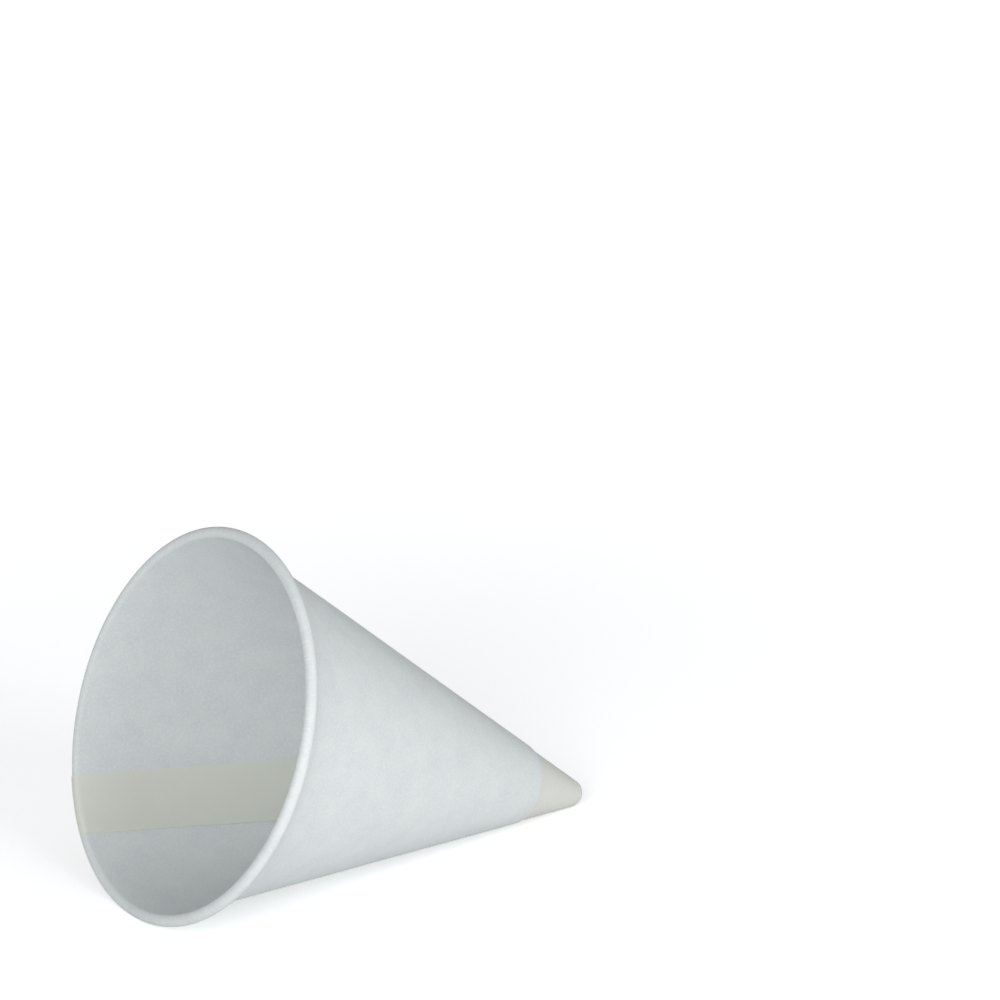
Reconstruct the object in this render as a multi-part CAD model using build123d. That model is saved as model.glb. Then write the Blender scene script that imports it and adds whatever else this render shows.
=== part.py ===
from build123d import *

import os
from math import asin, atan2, cos, degrees, hypot, radians, sin

# Cone paper cup with a rolled rim, lying on its side as it comes to rest.
#
# The cup is one sheet of paper, wound round a cone, overlapped and glued down
# its side, closed at the tip and rolled outwards at the mouth.
#
# It is built in its own axis frame: the inner face of the wall is a cone whose
# apex is the origin, +Z runs along the axis to the mouth, and +X is the side
# that faces up when the cup lies down. Then it is laid on the plane z = 0,
# where it touches at the rim and at the tip, with the mouth towards -X.
#
# Row frame: origin at the centre of the bottom of the bounding box, +Z up,
# +X from the mouth towards the tip.

# Driving dimensions, in millimetres and degrees.
RIM_DIAMETER = 72.0         # over the rolled rim
CUP_HEIGHT = 93.0           # along the axis, from the face of the rim to the tip
PAPER = 0.25                # thickness of one ply
CURL_RADIUS = 1.1           # outer radius of the rim's roll in section
CURL_TURN = 305.0           # how far the rim's paper is rolled round
CURL_PLIES = 2              # turns of paper pressed together in the roll
TIP_RADIUS = 2.6            # outer radius of the rounded tip
TIP_ZONE = 16.0             # from the tip end to where the outer ply is cut
TIP_TUCK = 8.0              # how far the tip's plies run up under the outer ply
TIP_PLIES = 2               # plies in the wall of the tip
LAP_WIDTH = 12.0            # overlap of the two edges of the sheet
SEAM_AZIMUTH = 144.0        # inner edge of the lap, turned from the top side
REST_FLAT = 0.4             # how far the soft rim gives where it rests

# Half angle of the cone: its inner face touches the roll of the rim from
# inside the mouth, and it runs on as the outer face of the rounded tip.
ring_radius = RIM_DIAMETER / 2 - CURL_RADIUS
span = CUP_HEIGHT - CURL_RADIUS - TIP_RADIUS
half_angle = atan2(ring_radius, span)
half_angle -= asin((TIP_RADIUS + CURL_RADIUS) / hypot(span, ring_radius))

# Places along the axis and along the slope of the wall, from the cone's apex.
tip_centre = TIP_RADIUS / sin(half_angle)
tip_end = tip_centre - TIP_RADIUS
tip_slant = tip_centre * cos(half_angle)
cut_slant = (tip_end + TIP_ZONE) / cos(half_angle)
tuck_slant = cut_slant + TIP_TUCK
curl_slant = ring_radius * sin(half_angle)
curl_slant += (tip_centre + span) * cos(half_angle)

# Wall of the tip, and how far one ply moves the winding out from the axis.
tip_wall = TIP_PLIES * PAPER
ply_step = PAPER / cos(half_angle)

# The sheet winds clockwise, seen from the mouth.
WINDING = Axis((0, 0, 0), (0, 0, -1))


def wall_point(slant, depth):
    """Point of the section: slant up the wall's inner face, depth out of it."""
    return Vector(
        slant * sin(half_angle) + depth * cos(half_angle),
        slant * cos(half_angle) - depth * sin(half_angle),
    )


def rolled_ply():
    """Outer face of the ply, round the roll of the rim, to the inner face."""
    centre = wall_point(curl_slant, CURL_RADIUS)
    start = 180.0 - degrees(half_angle)
    hollow = CURL_RADIUS - CURL_PLIES * PAPER
    inside = CenterArc(centre, hollow, start, -CURL_TURN)
    outside = CenterArc(centre, CURL_RADIUS, start - CURL_TURN, CURL_TURN)
    up = Line(wall_point(cut_slant, PAPER), wall_point(curl_slant, PAPER))
    return [up, Line(up @ 1, inside @ 0), inside, Line(inside @ 1, outside @ 0), outside]


def closed_section(outline):
    """Face in the plane of the axis, from edges that follow each other."""
    return make_face(Wire(Curve() + outline))


def wall_section():
    """The whole wall: rounded tip, outer ply and rolled rim."""
    across = -degrees(half_angle)
    outside = CenterArc((0, tip_centre), TIP_RADIUS, -90, 90 + across)
    inside = CenterArc((0, tip_centre), TIP_RADIUS - tip_wall, across, -90 - across)
    ply_end = [
        Line(wall_point(tip_slant, 0), wall_point(cut_slant, 0)),
        Line(wall_point(cut_slant, 0), wall_point(cut_slant, PAPER)),
    ]
    tuck = [
        Line(wall_point(curl_slant, 0), wall_point(tuck_slant, 0)),
        Line(wall_point(tuck_slant, 0), wall_point(tuck_slant, -tip_wall)),
        Line(wall_point(tuck_slant, -tip_wall), inside @ 0),
    ]
    close = Line(inside @ 1, outside @ 0)
    return closed_section([outside, *ply_end, *rolled_ply(), *tuck, inside, close])


def lap_section():
    """The outer ply alone, from where it is cut to the rim."""
    back = Line(wall_point(curl_slant, 0), wall_point(cut_slant, 0))
    end = Line(wall_point(cut_slant, 0), wall_point(cut_slant, PAPER))
    return closed_section([*rolled_ply(), back, end])


def lap_turn(slant):
    """Degrees round the cone to the lap's outer edge.

    The edge is straight on the flat sheet, at one width from the inner edge.
    """
    return degrees(asin(LAP_WIDTH / slant) / sin(half_angle))


def beyond_lap():
    """Block past the lap's outer edge, cut by the plane that follows the edge."""
    edge = []
    for slant in (cut_slant, (cut_slant + curl_slant) / 2, curl_slant):
        place = wall_point(slant, PAPER)
        edge.append(Vector(place.X, 0, place.Y).rotate(WINDING, lap_turn(slant)))
    along = edge[2] - edge[0]
    outward = (edge[1] - edge[0]).cross(along)
    plane = Plane(edge[1], x_dir=along, z_dir=outward)
    reach = 4 * CUP_HEIGHT
    return plane * Box(reach, reach, reach, align=(Align.CENTER, Align.CENTER, Align.MIN))


def wound_cup():
    """The cup in its axis frame, with the sheet's inner edge on the +X side.

    The first half turn is centred on the axis. The second is half a ply wider
    and centred half a ply off, so it ends one ply further out, on top of the
    sheet's first edge, and goes on from there as the lap.
    """
    offset = ply_step / 2
    first_half = revolve(Plane.XZ * wall_section(), WINDING, 180)
    core = Pos(0, tip_end) * Rectangle(offset, tip_wall, align=Align.MIN)
    wider = Pos(offset, 0) * wall_section() + core
    second_half = Rot(0, 0, 180) * revolve(Plane.XZ * wider, WINDING, 180)
    lap = Plane.XZ * Pos(ply_step, 0) * lap_section()
    lap = revolve(lap, WINDING, lap_turn(cut_slant)) - beyond_lap()
    return first_half + Pos(offset, 0, 0) * second_half + lap


def laid_down(upright):
    """Turn the cup onto its rim and tip, with the rim pressed flat at z = 0."""
    lean = atan2(ring_radius, span)
    lean -= asin((TIP_RADIUS - CURL_RADIUS + REST_FLAT) / hypot(span, ring_radius))
    # How far out the winding carries the wall at the lowest place.
    wound = ply_step / 2 * (1 + cos(radians(180.0 + SEAM_AZIMUTH)))
    tip_drop = tip_centre * sin(lean) - wound * cos(lean) - TIP_RADIUS
    lying = Rot(0, degrees(lean) - 90, 0) * Rot(0, 0, SEAM_AZIMUTH) * upright
    reach = 4 * CUP_HEIGHT
    floor = Box(reach, reach, reach, align=(Align.CENTER, Align.CENTER, Align.MAX))
    return Pos(0, 0, -tip_drop) * lying - floor


def centred(resting):
    """Put the origin at the centre of the bottom of the bounding box."""
    box = resting.bounding_box()
    return Pos(-box.center().X, -box.center().Y, -box.min.Z) * resting


cup = centred(laid_down(wound_cup()))

os.makedirs("parts", exist_ok=True)
export_step(cup, "parts/cup.step")
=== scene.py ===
"""A cone paper cup with a rolled rim, lying on a pale floor in soft light."""

import logging
from dataclasses import dataclass, field
from enum import Enum
from math import asin, atan2, cos, hypot, radians, sin

import bmesh
import bpy
from mathutils import Matrix, Vector, noise


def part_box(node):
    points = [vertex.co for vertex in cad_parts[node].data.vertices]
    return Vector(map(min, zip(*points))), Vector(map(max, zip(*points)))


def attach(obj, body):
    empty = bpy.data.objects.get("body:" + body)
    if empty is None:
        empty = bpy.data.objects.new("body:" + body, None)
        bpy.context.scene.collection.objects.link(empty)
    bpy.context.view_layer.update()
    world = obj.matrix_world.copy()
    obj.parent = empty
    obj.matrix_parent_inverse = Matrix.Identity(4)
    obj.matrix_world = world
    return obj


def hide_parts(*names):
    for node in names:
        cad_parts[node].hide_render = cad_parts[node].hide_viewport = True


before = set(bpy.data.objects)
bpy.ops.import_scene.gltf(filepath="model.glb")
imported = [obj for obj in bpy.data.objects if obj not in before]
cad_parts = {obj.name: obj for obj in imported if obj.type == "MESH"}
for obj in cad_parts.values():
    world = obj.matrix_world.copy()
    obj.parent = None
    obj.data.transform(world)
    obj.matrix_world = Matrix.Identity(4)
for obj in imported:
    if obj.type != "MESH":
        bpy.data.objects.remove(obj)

MM = 0.001
HALF_TURN = radians(180.0)
FULL_TURN = radians(360.0)
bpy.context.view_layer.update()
LOG = logging.getLogger("cone_cup")

# Layers that the mesh carries for its material.
FLAT_SHEET = "flat_sheet"
SLANT = "slant"
LAP_DEPTH = "lap_depth"

# Sockets of the colour mix, whose names its other types share.
MIX_FACTOR, MIX_BELOW, MIX_ABOVE, MIX_RESULT = 0, 6, 7, 2

Point = tuple[float, float]


class Ply(Enum):
    """Which part of the wound sheet a mesh covers."""

    FULL_TURN = "full turn"
    LAP = "lap"


def linear(hex_colour: str) -> tuple[float, float, float, float]:
    """Turn an sRGB colour into linear light.

    Args:
        hex_colour: six hexadecimal digits, such as "DCE1E6".

    Returns:
        Red, green, blue and alpha.
    """
    channels = []
    for start in (0, 2, 4):
        value = int(hex_colour[start:start + 2], 16) / 255
        low = value <= 0.04045
        channels.append(value / 12.92 if low else ((value + 0.055) / 1.055) ** 2.4)
    return (*channels, 1.0)


def add_node(
    tree: bpy.types.NodeTree,
    kind: str,
    settings: dict[str, object] | None = None,
    inputs: dict[str | int, object] | None = None,
) -> bpy.types.Node:
    """Add a node, set its properties, and set or link its sockets.

    Args:
        tree: the node tree.
        kind: the node's type name.
        settings: properties of the node.
        inputs: by name or number, a value or the socket to link from.

    Returns:
        The new node.
    """
    node = tree.nodes.new(kind)
    for name, value in (settings or {}).items():
        setattr(node, name, value)
    for name, value in (inputs or {}).items():
        if isinstance(value, bpy.types.NodeSocket):
            tree.links.new(value, node.inputs[name])
        else:
            node.inputs[name].default_value = value
    return node


@dataclass(frozen=True)
class CupPaper:
    """Uncoated bleached cup paper, pressed smooth but with its fibres showing.

    It is a matt cool white, clouded where the pulp lies thicker and flecked with
    pale fibres, and some light passes through it. Over the lap the white is painted
    warmer and darker, as painted shade for the light that two plies let through
    less; at the tip, below the outer ply's cut, it is warmer and darker too.
    """

    name: str = "uncoated_cup_paper"
    sheet: str = "E6E9E9"
    cloud: str = "DBDFE0"
    fibre: str = "F0F3F3"
    painted_lap_shade: str = "E6E8DE"
    # Painted shade over the lap: warmer and darker, for the light that two plies let through
    # less.
    tip: str = "E2E0D6"
    fibre_share: float = 0.5
    painted_lap_shade_share: float = 0.85
    tip_share: float = 0.6
    fibre_size: float = 0.5 * MM
    cloud_size: float = 5.0 * MM
    noise_roughness: float = 0.6
    fleck_from: float = 0.45
    fleck_to: float = 0.75
    edge_blur: float = 0.35 * MM
    roughness: float = 0.78
    sheen: float = 0.25
    fibre_height: float = 0.025 * MM
    relief: float = 0.6
    let_through: float = 0.25

    def material(self, tip_edge: float) -> bpy.types.Material:
        """Make the paper's material.

        Args:
            tip_edge: where the outer ply is cut, up the slope from the apex.

        Returns:
            The material, whose pattern lies on the flat sheet's own UV map.
        """
        made = bpy.data.materials.new(self.name)
        made.use_nodes = True
        tree = made.node_tree
        tree.nodes.clear()
        clouds, flecks, relief = self.pulp(tree)
        colour = self.colour(tree, clouds, flecks, tip_edge)
        bump = add_node(
            tree, "ShaderNodeBump", None,
            {"Strength": self.relief, "Distance": self.fibre_height, "Height": relief},
        )
        normal = bump.outputs["Normal"]
        surface = add_node(
            tree, "ShaderNodeBsdfPrincipled", None,
            {
                "Base Color": colour,
                "Roughness": self.roughness,
                "Specular IOR Level": self.sheen,
                "Normal": normal,
            },
        )
        through = add_node(tree, "ShaderNodeBsdfTranslucent", None,
                           {"Color": colour, "Normal": normal})
        both = add_node(
            tree, "ShaderNodeMixShader", None,
            {0: self.let_through, 1: surface.outputs["BSDF"], 2: through.outputs["BSDF"]},
        )
        add_node(tree, "ShaderNodeOutputMaterial", None,
                 {"Surface": both.outputs["Shader"]})
        return made

    def pulp(self, tree: bpy.types.NodeTree) -> list[bpy.types.NodeSocket]:
        """Pattern the flat sheet as its pulp settled.

        Args:
            tree: the node tree.

        Returns:
            The values of the clouds, of the flecks and of the fine relief.
        """
        flat = add_node(tree, "ShaderNodeUVMap", {"uv_map": FLAT_SHEET})
        patterns = []
        for size, detail in (
            (self.cloud_size, 2.0), (self.fibre_size, 3.0), (self.fibre_size, 4.0),
        ):
            pattern = add_node(
                tree, "ShaderNodeTexNoise", {"noise_dimensions": "2D"},
                {
                    "Vector": flat.outputs["UV"],
                    "Scale": 1 / size,
                    "Detail": detail,
                    "Roughness": self.noise_roughness,
                },
            )
            patterns.append(pattern.outputs[0])
        return patterns

    def colour(
        self, tree: bpy.types.NodeTree, clouds: bpy.types.NodeSocket,
        flecks: bpy.types.NodeSocket, tip_edge: float,
    ) -> bpy.types.NodeSocket:
        """Lay the fibres, the lap's painted shade and the warmer tip over the clouded sheet.

        Args:
            tree: the node tree.
            clouds: the value of the clouds.
            flecks: the value of the flecks.
            tip_edge: where the outer ply is cut.

        Returns:
            The colour.
        """
        lap = add_node(tree, "ShaderNodeAttribute", {"attribute_name": LAP_DEPTH})
        slope = add_node(tree, "ShaderNodeAttribute", {"attribute_name": SLANT})
        blur = self.edge_blur
        coats = (
            # measure, its range, the coat's share at both ends, its tint, its ramp
            (flecks, (self.fleck_from, self.fleck_to), (0.0, self.fibre_share),
             self.fibre, "LINEAR"),
            # The lap's painted shade: a warmer, darker tint where less light passes through two
            # plies.
            (lap.outputs["Fac"], (-blur, blur), (0.0, self.painted_lap_shade_share),
             self.painted_lap_shade, "SMOOTHSTEP"),
            # Warmer and darker below the outer ply's cut, towards the tip.
            (slope.outputs["Fac"], (tip_edge - blur, tip_edge + blur),
             (self.tip_share, 0.0), self.tip, "SMOOTHSTEP"),
        )
        clouded = add_node(
            tree, "ShaderNodeMix", {"data_type": "RGBA"},
            {
                MIX_FACTOR: clouds,
                MIX_BELOW: linear(self.cloud),
                MIX_ABOVE: linear(self.sheet),
            },
        )
        result = clouded.outputs[MIX_RESULT]
        for measure, (start, end), (low, high), tint, ramp in coats:
            share = add_node(
                tree, "ShaderNodeMapRange", {"interpolation_type": ramp},
                {
                    "Value": measure, "From Min": start, "From Max": end,
                    "To Min": low, "To Max": high,
                },
            )
            coated = add_node(
                tree, "ShaderNodeMix", {"data_type": "RGBA"},
                {
                    MIX_FACTOR: share.outputs["Result"],
                    MIX_BELOW: result,
                    MIX_ABOVE: linear(tint),
                },
            )
            result = coated.outputs[MIX_RESULT]
        return result


@dataclass
class ConeCup:
    """One sheet, wound into a cone, closed at its tip and rolled at its rim.

    The cup is measured in its axis frame, whose origin is the apex of the wall's
    inner face, with +Z to the mouth and +X on the side that faces up.
    """

    rim_diameter: float = 72.0 * MM
    height: float = 93.0 * MM
    paper: float = 0.25 * MM
    curl_radius: float = 1.1 * MM
    curl_turn: float = radians(305.0)
    curl_plies: int = 2
    tip_radius: float = 2.6 * MM
    tip_zone: float = 16.0 * MM
    tip_tuck: float = 8.0 * MM
    tip_plies: int = 2
    lap_width: float = 12.0 * MM
    seam_azimuth: float = radians(144.0)
    rest_flat: float = 0.4 * MM
    unevenness: float = 0.1 * MM
    uneven_size: float = 22.0 * MM
    turn_columns: int = 360
    lap_columns: int = 40
    wall_rows: int = 30
    tip_rows: int = 8
    ball_rows: int = 10
    ball_inner_rows: int = 8
    curl_rows: int = 32
    curl_inner_rows: int = 16
    merge: float = 0.001 * MM
    crease: float = radians(40.0)
    finish: CupPaper = field(default_factory=CupPaper)

    def __post_init__(self) -> None:
        """Work out the half angle, the lean and the places along the wall."""
        self.ring_radius = self.rim_diameter / 2 - self.curl_radius
        self.span = self.height - self.curl_radius - self.tip_radius
        long_side = hypot(self.span, self.ring_radius)
        opening = atan2(self.ring_radius, self.span)
        self.half_angle = opening - asin((self.tip_radius + self.curl_radius) / long_side)
        give = self.tip_radius - self.curl_radius + self.rest_flat
        self.lean = opening - asin(give / long_side)
        self.tip_centre = self.tip_radius / sin(self.half_angle)
        self.tip_slant = self.tip_centre * cos(self.half_angle)
        tip_end = self.tip_centre - self.tip_radius
        self.cut_slant = (tip_end + self.tip_zone) / cos(self.half_angle)
        self.tuck_slant = self.cut_slant + self.tip_tuck
        along = (self.tip_centre + self.span) * cos(self.half_angle)
        self.curl_slant = self.ring_radius * sin(self.half_angle) + along

    def wall_point(self, slant: float, depth: float) -> Point:
        """Radius and height of a place up the slope and out of the inner face."""
        return (
            slant * sin(self.half_angle) + depth * cos(self.half_angle),
            slant * cos(self.half_angle) - depth * sin(self.half_angle),
        )

    def wall(self, start: float, end: float, depth: float, steps: int) -> list[Point]:
        """Points up or down the slope at one depth, both ends included."""
        slants = [start + (end - start) * n / steps for n in range(steps + 1)]
        return [self.wall_point(slant, depth) for slant in slants]

    @staticmethod
    def arc(centre: Point, radius: float, start: float, turn: float, steps: int) -> list[Point]:
        """Points along an arc, both ends included."""
        angles = [start + turn * n / steps for n in range(steps + 1)]
        return [(centre[0] + radius * cos(a), centre[1] + radius * sin(a)) for a in angles]

    def rolled_ply(self) -> list[Point]:
        """Follow the ply from its cut, up its outer face and round the roll.

        Returns:
            Points that end on the inner face, where the roll leaves the wall.
        """
        centre = self.wall_point(self.curl_slant, self.curl_radius)
        start = HALF_TURN - self.half_angle
        end = start - self.curl_turn
        hollow = self.curl_radius - self.curl_plies * self.paper
        return [
            *self.wall(self.cut_slant, self.curl_slant, self.paper, self.wall_rows),
            *self.arc(centre, hollow, start, -self.curl_turn, self.curl_inner_rows),
            *self.arc(centre, self.curl_radius, end, self.curl_turn, self.curl_rows),
        ]

    def section(self, ply: Ply) -> list[Point]:
        """Outline of the sheet in the plane of the axis.

        Args:
            ply: the full turn runs from the tip's outside round the rim to its
                inside; the lap is the outer ply alone, and closes on itself.

        Returns:
            Radius and height of each point in turn.
        """
        if ply is Ply.LAP:
            back = self.wall(self.curl_slant, self.cut_slant, 0.0, self.wall_rows)
            return [*self.rolled_ply(), *back[1:], self.wall_point(self.cut_slant, self.paper)]
        tip_wall = self.tip_plies * self.paper
        centre = (0.0, self.tip_centre)
        across = HALF_TURN / 2 - self.half_angle
        outer, inner = self.tip_radius, self.tip_radius - tip_wall
        return [
            *self.arc(centre, outer, -HALF_TURN / 2, across, self.ball_rows),
            *self.wall(self.tip_slant, self.cut_slant, 0.0, self.tip_rows)[1:],
            *self.rolled_ply(),
            *self.wall(self.curl_slant, self.tuck_slant, 0.0, self.wall_rows)[1:],
            *self.wall(self.tuck_slant, self.tip_slant, -tip_wall, self.tip_rows),
            *self.arc(centre, inner, -self.half_angle, -across, self.ball_inner_rows)[1:],
        ]

    def lap_turn(self, slant: float) -> float:
        """How far round the cone the lap reaches, straight-edged on the flat sheet."""
        return asin(min(1.0, self.lap_width / slant)) / sin(self.half_angle)

    def ply_offset(self, turn: float) -> float:
        """How far out of the first ply the winding has moved.

        Args:
            turn: how far round the sheet has been wound.

        Returns:
            Nothing in the first half turn, and one ply from a full turn on.
        """
        if turn <= HALF_TURN:
            return 0.0
        step = self.paper / cos(self.half_angle)
        return step * (1 + cos(min(turn, FULL_TURN))) / 2

    def placed(self, point: Point, turn: float) -> tuple[Vector, float]:
        """Wind a point of the section round the cone.

        The step from ply to ply fades away at the closed tip. The paper gives a
        little, and always inwards.

        Args:
            point: radius and height in the section.
            turn: how far round the sheet has been wound.

        Returns:
            The place, and its distance up the slope from the apex.
        """
        radius, height = point
        slant = hypot(radius, height)
        radius += min(1.0, radius / self.tip_radius) * self.ply_offset(turn)
        angle = self.seam_azimuth - turn
        out = Vector((cos(angle), sin(angle), 0.0))
        place = Vector((radius * cos(angle), radius * sin(angle), height))
        give = (1 + noise.noise(place / self.uneven_size)) / 2 * self.unevenness
        return place - out * give * min(1.0, slant / self.curl_slant), slant

    def lap_depth(self, slant: float, turn: float) -> float:
        """How deep a place lies inside the doubled lap.

        Args:
            slant: its distance up the slope from the apex.
            turn: how far round the sheet has been wound.

        Returns:
            The distance from the nearer edge, below 0 outside the lap.
        """
        wound = turn if turn < HALF_TURN else turn - FULL_TURN
        across = slant * sin(wound * sin(self.half_angle))
        return min(across, self.lap_width - across)

    def wind(self, mesh: bmesh.types.BMesh, ply: Ply) -> None:
        """Wind a flat grid into one part of the sheet and close its ends.

        Args:
            mesh: the mesh to add to.
            ply: the part of the sheet.
        """
        section = self.section(ply)
        columns = self.turn_columns if ply is Ply.FULL_TURN else self.lap_columns
        rows = len(section) - 1
        grid = bmesh.ops.create_grid(mesh, x_segments=columns, y_segments=rows, size=1.0)
        verts = grid["verts"]
        flat_sheet = mesh.loops.layers.uv[FLAT_SHEET]
        slant_of = mesh.verts.layers.float[SLANT]
        depth_of = mesh.verts.layers.float[LAP_DEPTH]
        flat: dict[bmesh.types.BMVert, tuple[float, float]] = {}
        ends: dict[int, list[bmesh.types.BMVert]] = {0: [], columns: []}
        for vert in verts:
            column = round((vert.co.x + 1) / 2 * columns)
            point = section[round((vert.co.y + 1) / 2 * rows)]
            turn = FULL_TURN * column / columns
            if ply is Ply.LAP:
                reach = self.lap_turn(max(hypot(*point), self.cut_slant))
                turn = FULL_TURN + reach * column / columns
            if column in ends:
                ends[column].append(vert)
            vert.co, slant = self.placed(point, turn)
            vert[slant_of] = slant
            vert[depth_of] = self.lap_depth(slant, turn)
            wound = turn * sin(self.half_angle)
            flat[vert] = (slant * cos(wound), slant * sin(wound))
        for face in {face for vert in verts for face in vert.link_faces}:
            for loop in face.loops:
                loop[flat_sheet].uv = flat[loop.vert]
        bmesh.ops.remove_doubles(mesh, verts=verts, dist=self.merge)
        for end in ends.values():
            self.close_end(mesh, [vert for vert in end if vert.is_valid])

    @staticmethod
    def close_end(mesh: bmesh.types.BMesh, end: list[bmesh.types.BMVert]) -> None:
        """Fill the cut end of the sheet.

        Args:
            mesh: the mesh that holds it.
            end: the vertices along the cut.
        """
        cut = set(end)
        edges = {
            edge for vert in end for edge in vert.link_edges
            if edge.is_boundary and edge.other_vert(vert) in cut
        }
        # The full turn's cut is open beside the axis, where one more edge closes it.
        loose = [v for v in end if sum(edge in edges for edge in v.link_edges) == 1]
        if len(loose) == 2:
            edges.add(mesh.edges.get(loose) or mesh.edges.new(loose))
        bmesh.ops.triangle_fill(mesh, edges=list(edges), use_beauty=True)

    def laid_down(self) -> Matrix:
        """Turn from the axis frame into the row frame, resting on the rim and tip.

        Returns:
            The turn and the move, with the tip's ball on the floor and the
            mouth's roll starting at the low end of the frame's box.
        """
        lean = Matrix.Rotation(self.lean - HALF_TURN / 2, 4, "Y")
        low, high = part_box("cup")
        underside = self.ply_offset(HALF_TURN + self.seam_azimuth)
        drop = self.tip_centre * sin(self.lean) - self.tip_radius
        mouth = -(self.tip_centre + self.span) * cos(self.lean)
        mouth -= (self.ring_radius + underside) * sin(self.lean) + self.curl_radius
        lift = underside * cos(self.lean) - drop
        shift = Vector((low.x - mouth, (low.y + high.y) / 2, lift))
        return Matrix.Translation(shift) @ lean

    @staticmethod
    def seat(mesh: bmesh.types.BMesh) -> None:
        """Centre the cup over the frame's box and press its rim on the floor.

        Args:
            mesh: the laid-down cup.
        """
        low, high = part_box("cup")
        across = [vert.co.x for vert in mesh.verts]
        aside = [vert.co.y for vert in mesh.verts]
        shift = Vector((
            (low.x + high.x - min(across) - max(across)) / 2,
            (low.y + high.y - min(aside) - max(aside)) / 2,
            0.0,
        ))
        for vert in mesh.verts:
            vert.co += shift
            vert.co.z = max(vert.co.z, 0.0)

    def build(self) -> bpy.types.Object:
        """Make the cup's mesh, dress it and tie it to the frame.

        Returns:
            The finished piece.
        """
        mesh = bmesh.new()
        mesh.loops.layers.uv.new(FLAT_SHEET)
        mesh.verts.layers.float.new(SLANT)
        mesh.verts.layers.float.new(LAP_DEPTH)
        for ply in Ply:
            self.wind(mesh, ply)
        bmesh.ops.dissolve_degenerate(mesh, edges=mesh.edges, dist=self.merge)
        bmesh.ops.recalc_face_normals(mesh, faces=mesh.faces)
        bmesh.ops.transform(mesh, matrix=self.laid_down(), verts=mesh.verts)
        self.seat(mesh)
        data = bpy.data.meshes.new("wound_paper_cup")
        mesh.to_mesh(data)
        mesh.free()
        data.shade_smooth()
        data.set_sharp_from_angle(angle=self.crease)
        data.materials.append(self.finish.material(self.cut_slant))
        cup = bpy.data.objects.new("wound_paper_cup", data)
        bpy.context.scene.collection.objects.link(cup)
        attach(cup, "root")
        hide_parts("cup")
        return cup


@dataclass(frozen=True)
class Lamp:
    """A soft square lamp that faces the cup, in metres and watts."""

    name: str
    place: tuple[float, float, float]
    power: float
    size: float = 0.5
    aim: tuple[float, float, float] = (0.0, 0.0, 0.03)

    def hang(self) -> None:
        """Hang the lamp in its place."""
        data = bpy.data.lights.new(self.name, "AREA")
        data.size = self.size
        data.energy = self.power
        lamp = bpy.data.objects.new(self.name, data)
        lamp.location = self.place
        line = Vector(self.aim) - Vector(self.place)
        lamp.rotation_euler = line.to_track_quat("-Z", "Y").to_euler()
        bpy.context.scene.collection.objects.link(lamp)


@dataclass(frozen=True)
class WhiteFloor:
    """Matt white paint that looks white to the camera and keeps the cup's shadow.

    Only the camera sees its glow, which is weak under the cup, where the shadow
    falls, and stronger further off, where the lamps are far away.
    """

    name: str = "matt_white_floor"
    size: float = 3.0
    squares: int = 8
    paint: str = "F4F5F5"
    near: float = 0.1
    far: float = 0.5
    near_glow: float = 0.4
    far_glow: float = 0.85

    def build(self) -> None:
        """Lay the floor under the cup."""
        mesh = bmesh.new()
        bmesh.ops.create_grid(
            mesh, x_segments=self.squares, y_segments=self.squares, size=self.size / 2,
        )
        data = bpy.data.meshes.new("floor")
        mesh.to_mesh(data)
        mesh.free()
        data.materials.append(self.material())
        floor = bpy.data.objects.new("floor", data)
        bpy.context.scene.collection.objects.link(floor)

    def material(self) -> bpy.types.Material:
        """Make the floor's material.

        Returns:
            The material.
        """
        made = bpy.data.materials.new(self.name)
        made.use_nodes = True
        tree = made.node_tree
        tree.nodes.clear()
        path = add_node(tree, "ShaderNodeLightPath")
        matt = add_node(tree, "ShaderNodeBsdfDiffuse", None, {"Color": linear(self.paint)})
        place = add_node(tree, "ShaderNodeTexCoord")
        away = add_node(tree, "ShaderNodeVectorMath", {"operation": "LENGTH"},
                        {0: place.outputs["Object"]})
        rise = add_node(
            tree, "ShaderNodeMapRange", {"interpolation_type": "SMOOTHSTEP"},
            {
                "Value": away.outputs["Value"], "From Min": self.near,
                "From Max": self.far, "To Min": self.near_glow, "To Max": self.far_glow,
            },
        )
        glow = add_node(tree, "ShaderNodeEmission", None,
                        {"Strength": rise.outputs["Result"]})
        both = add_node(tree, "ShaderNodeAddShader", None,
                        {0: matt.outputs["BSDF"], 1: glow.outputs["Emission"]})
        seen = add_node(
            tree, "ShaderNodeMixShader", None,
            {
                0: path.outputs["Is Camera Ray"],
                1: matt.outputs["BSDF"],
                2: both.outputs["Shader"],
            },
        )
        add_node(tree, "ShaderNodeOutputMaterial", None,
                 {"Surface": seen.outputs["Shader"]})
        return made


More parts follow.
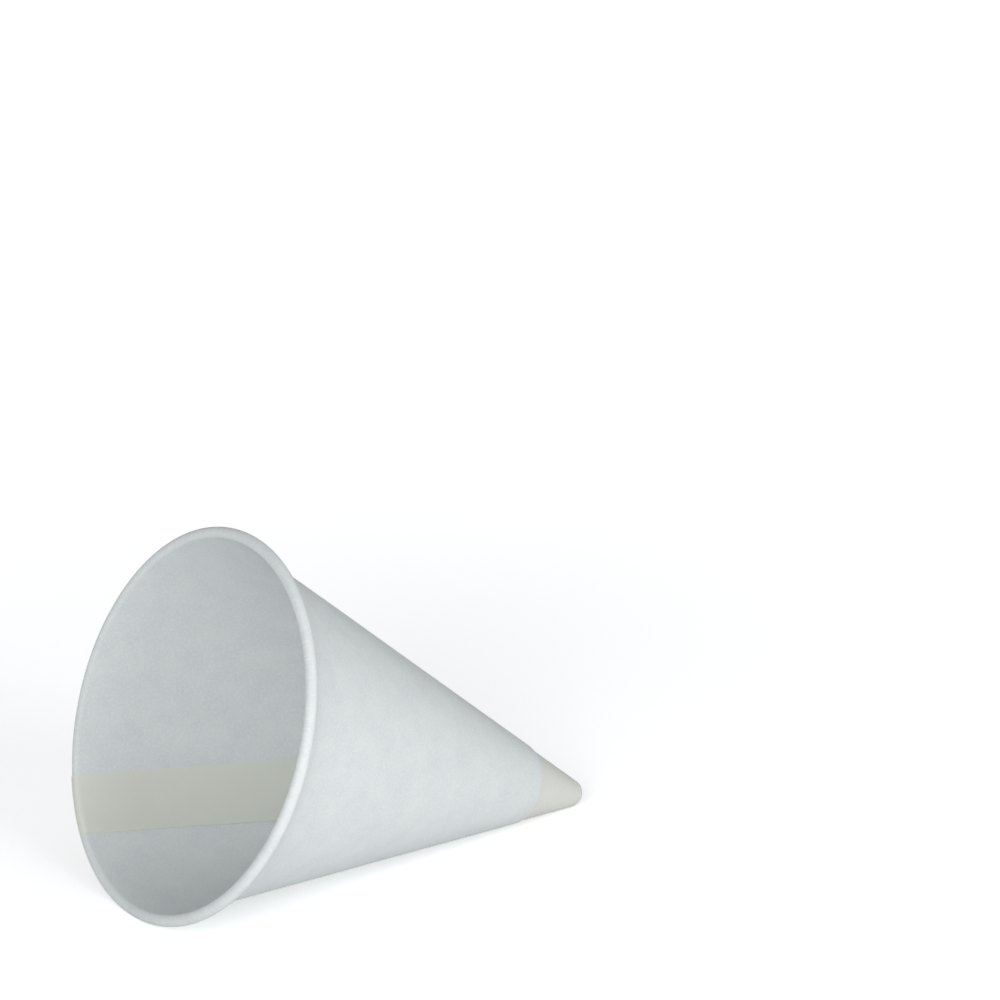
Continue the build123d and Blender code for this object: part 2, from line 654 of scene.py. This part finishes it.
@dataclass
class Studio:
    """Pale floor, even sky, two soft lamps in front of the cup, and the camera."""

    floor: WhiteFloor = field(default_factory=WhiteFloor)
    lamps: tuple[Lamp, ...] = (
        Lamp("front", (0.2, -0.95, 0.32), 5.2),
        Lamp("mouth_side", (-0.75, -0.6, 0.4), 5.6),
    )
    sky_colour: str = "F5F8FB"
    sky: float = 0.42
    backdrop: str = "FFFFFF"
    cup_yaw: float = radians(35.19)
    elevation: float = radians(18.31)
    roll: float = radians(1.117)
    lens: float = 170.4
    view_range: float = 10.0
    from_ring: tuple[float, float, float] = (-0.4107, -0.6767, 0.3048)

    def build(self, cup: ConeCup) -> None:
        """Lay the floor, light the sky and the lamps, and stand the camera.

        Args:
            cup: the cup, whose mouth the camera is placed from.
        """
        self.floor.build()
        self.light_sky()
        for lamp in self.lamps:
            lamp.hang()
        self.stand_camera(cup)
        bpy.context.scene.view_settings.view_transform = "Standard"

    def light_sky(self) -> None:
        """Light the cup evenly from all round, before a white backdrop."""
        world = bpy.data.worlds.new("studio")
        bpy.context.scene.world = world
        world.use_nodes = True
        tree = world.node_tree
        tree.nodes.clear()
        path = add_node(tree, "ShaderNodeLightPath")
        around = add_node(tree, "ShaderNodeBackground", None,
                          {"Color": linear(self.sky_colour), "Strength": self.sky})
        behind = add_node(tree, "ShaderNodeBackground", None,
                          {"Color": linear(self.backdrop)})
        mixed = add_node(
            tree, "ShaderNodeMixShader", None,
            {
                0: path.outputs["Is Camera Ray"],
                1: around.outputs["Background"],
                2: behind.outputs["Background"],
            },
        )
        add_node(tree, "ShaderNodeOutputWorld", None,
                 {"Surface": mixed.outputs["Shader"]})

    def stand_camera(self, cup: ConeCup) -> None:
        """Stand the camera in front of the mouth, to the side and a little above.

        Args:
            cup: the cup, whose rolled rim the camera is placed from.
        """
        ring = cup.laid_down() @ Vector((0.0, 0.0, cup.tip_centre + cup.span))
        level = cos(self.elevation)
        forward = Vector((
            sin(self.cup_yaw) * level, cos(self.cup_yaw) * level, -sin(self.elevation),
        ))
        across = Vector((cos(self.cup_yaw), -sin(self.cup_yaw), 0.0))
        down = forward.cross(across)
        turned_x = across * cos(self.roll) - down * sin(self.roll)
        turned_y = -across * sin(self.roll) - down * cos(self.roll)
        view = Matrix((turned_x, turned_y, -forward)).transposed()
        place = Matrix.Translation(ring + Vector(self.from_ring))
        data = bpy.data.cameras.new("camera")
        data.lens = self.lens
        data.clip_end = self.view_range
        camera = bpy.data.objects.new("camera", data)
        camera.matrix_world = place @ view.to_4x4()
        bpy.context.scene.collection.objects.link(camera)
        bpy.context.scene.camera = camera


def main() -> None:
    """Build the cup and its studio, and report each piece."""
    logging.basicConfig(level=logging.INFO)
    cup = ConeCup()
    piece = cup.build()
    LOG.info("%s: %d faces", piece.name, len(piece.data.polygons))
    studio = Studio()
    studio.build(cup)
    LOG.info("studio: floor, camera and %d lamps", len(studio.lamps))


if __name__ == "__main__":
    main()
